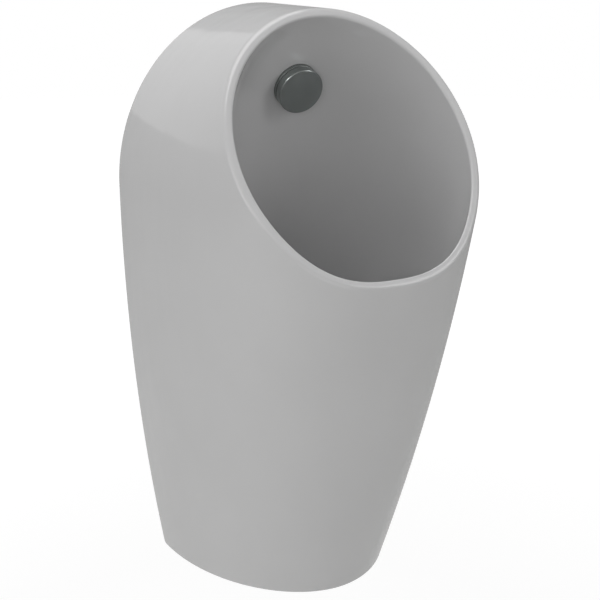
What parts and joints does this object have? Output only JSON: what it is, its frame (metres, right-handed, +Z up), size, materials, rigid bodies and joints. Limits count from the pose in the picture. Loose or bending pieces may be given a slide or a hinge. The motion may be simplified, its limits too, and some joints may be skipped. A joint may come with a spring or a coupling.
{
  "type": "wall hung urinal",
  "caption": "Wall hung urinal with a round tilted opening, a tapering open-backed skirt, a spray head in the bowl, a lift-out strainer and a trap with a lift-out insert.",
  "frame": {"origin": "where the wall plane meets the level of the skirt's lower edge, midway between the flanks", "axes": "+Y into the wall, so the bowl faces -Y; +Z up; +X to the right of someone who faces the wall"},
  "size_m": [0.35, 0.3533, 0.65],
  "materials": {
    "glaze": "glossy glaze on vitreous china",
    "dark_chrome": "bright plated",
    "chrome": "bright plated",
    "brass": "turned, unplated",
    "steel": "brushed stainless and zinc-plated steel",
    "rubber": "moulded, matt",
    "white_plastic": "moulded polypropylene, satin",
    "grey_plastic": "moulded, matt"
  },
  "bodies": {
    "urinal": {"ceramic_body": "glaze", "spray_body": "dark_chrome", "spray_front_seal": "rubber", "spray_back_seal": "rubber", "spray_backnut": "brass", "inlet_nut": "brass", "inlet_seal": "rubber", "inlet_pipe": "chrome", "inlet_collar": "rubber", "waste_flange": "steel", "waste_top_gasket": "rubber", "waste_bottom_gasket": "rubber", "waste_washer": "steel", "waste_backnut": "white_plastic", "trap_nut": "white_plastic", "trap_nut_seal": "rubber", "trap_body": "white_plastic", "outlet_pipe": "grey_plastic", "outlet_seal": "rubber", "outlet_collar": "rubber", "hanger_plate_left": "steel", "hanger_plate_right": "steel", "hanger_studs": "steel", "stud_bushes": "white_plastic", "hanger_washers": "steel", "hanger_nuts": "steel"},
    "cap": {"spray_cap": "dark_chrome", "spray_diffuser": "grey_plastic"},
    "insert": {"trap_insert": "white_plastic", "insert_seal": "rubber"},
    "strainer": {"strainer": "steel", "strainer_knob": "steel"},
    "plug": {"cleaning_plug": "white_plastic", "plug_seal": "rubber"}
  },
  "joints": [
    {"name": "cap_pull", "type": "slide", "parent": "urinal", "child": "cap", "axis": [0, -0.9272, -0.3746], "range_m": [0, 0.014]},
    {"name": "insert_lift", "type": "slide", "parent": "urinal", "child": "insert", "axis": [0, 0, 1], "range_m": [0, 0.125]},
    {"name": "strainer_lift", "type": "slide", "parent": "insert", "child": "strainer", "axis": [0, 0, 1], "range_m": [0, 0.06]},
    {"name": "plug_draw", "type": "slide", "parent": "urinal", "child": "plug", "axis": [0, 0, -1], "range_m": [0, 0.02]}
  ]
}
